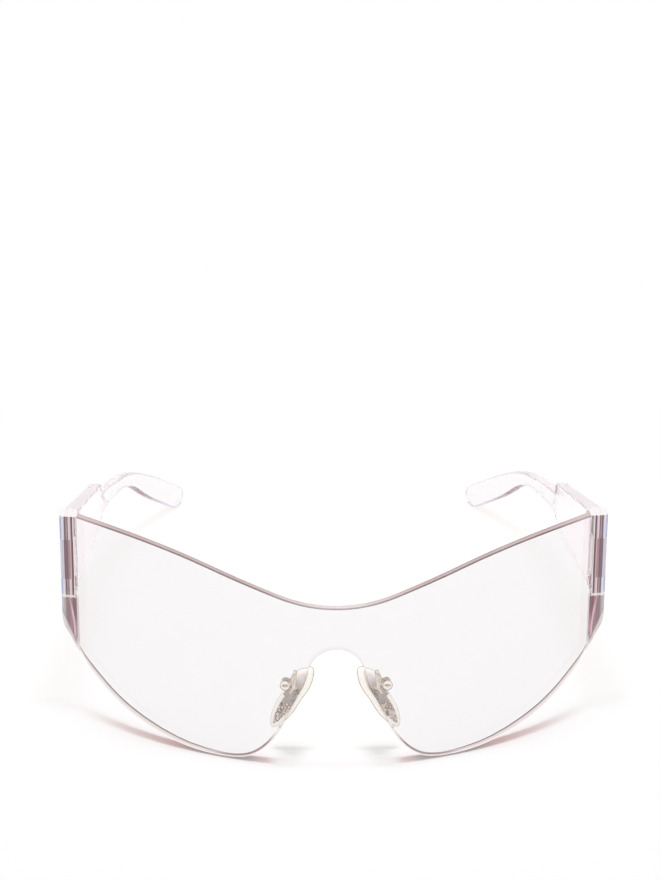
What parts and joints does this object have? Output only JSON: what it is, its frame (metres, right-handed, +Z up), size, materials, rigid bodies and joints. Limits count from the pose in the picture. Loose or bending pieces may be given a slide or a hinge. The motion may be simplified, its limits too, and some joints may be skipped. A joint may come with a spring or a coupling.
{
  "type": "shield sunglasses",
  "caption": "Rimless wrap-around sunglasses with one curved tinted shield lens, clear hinged temples and adjustable silicone nose pads.",
  "frame": {"origin": "centre of the box round the open glasses, on the level surface that they stand on", "axes": "+Z up from that surface, +Y from the lens back to the temple tips, +X across the front; standing open on the lens's two lobes and the two temple tips"},
  "size_m": [0.1496, 0.157, 0.0568],
  "materials": {
    "lens_tint": "polished, pale rose tint",
    "clear_temple": "polished, clear with a faint lilac tone",
    "polished_steel": "polished nickel",
    "plain_steel": "turned",
    "dark_steel": "dark plated",
    "clear_bush": "moulded nylon",
    "silicone": "soft, translucent"
  },
  "bodies": {
    "front": {"shield_lens": "lens_tint", "left_end_post": "clear_temple", "left_hinge_screw": "polished_steel", "left_hinge_sleeve": "plain_steel", "left_hinge_washers": "plain_steel", "left_lens_screw": "polished_steel", "left_lens_bush": "clear_bush", "left_pad_arm": "polished_steel", "left_pad_screw": "polished_steel", "right_end_post": "clear_temple", "right_hinge_screw": "polished_steel", "right_hinge_sleeve": "plain_steel", "right_hinge_washers": "plain_steel", "right_lens_screw": "polished_steel", "right_lens_bush": "clear_bush", "right_pad_arm": "polished_steel", "right_pad_screw": "polished_steel"},
    "left_temple": {"left_temple": "clear_temple", "left_knuckle_bush": "plain_steel"},
    "right_temple": {"right_temple": "clear_temple", "right_knuckle_bush": "plain_steel"},
    "left_pad": {"left_nose_pad": "silicone", "left_pad_core": "dark_steel"},
    "right_pad": {"right_nose_pad": "silicone", "right_pad_core": "dark_steel"}
  },
  "joints": [
    {"name": "left_temple_fold", "type": "hinge", "parent": "front", "child": "left_temple", "pos_m": [-0.0724, -0.04105, 0.0432], "axis": [0, -0.1385, -0.9904], "range_deg": [0, 83]},
    {"name": "right_temple_fold", "type": "hinge", "parent": "front", "child": "right_temple", "pos_m": [0.0724, -0.04105, 0.0432], "axis": [0, 0.1385, 0.9904], "range_deg": [0, 76]},
    {"name": "left_pad_rock", "type": "hinge", "parent": "front", "child": "left_pad", "pos_m": [-0.01153, -0.07123, 0.01766], "axis": [-0.7871, 0.467, 0.4028], "range_deg": [-8, 8]},
    {"name": "right_pad_rock", "type": "hinge", "parent": "front", "child": "right_pad", "pos_m": [0.01153, -0.07123, 0.01766], "axis": [0.7871, 0.467, 0.4028], "range_deg": [-8, 8]}
  ]
}
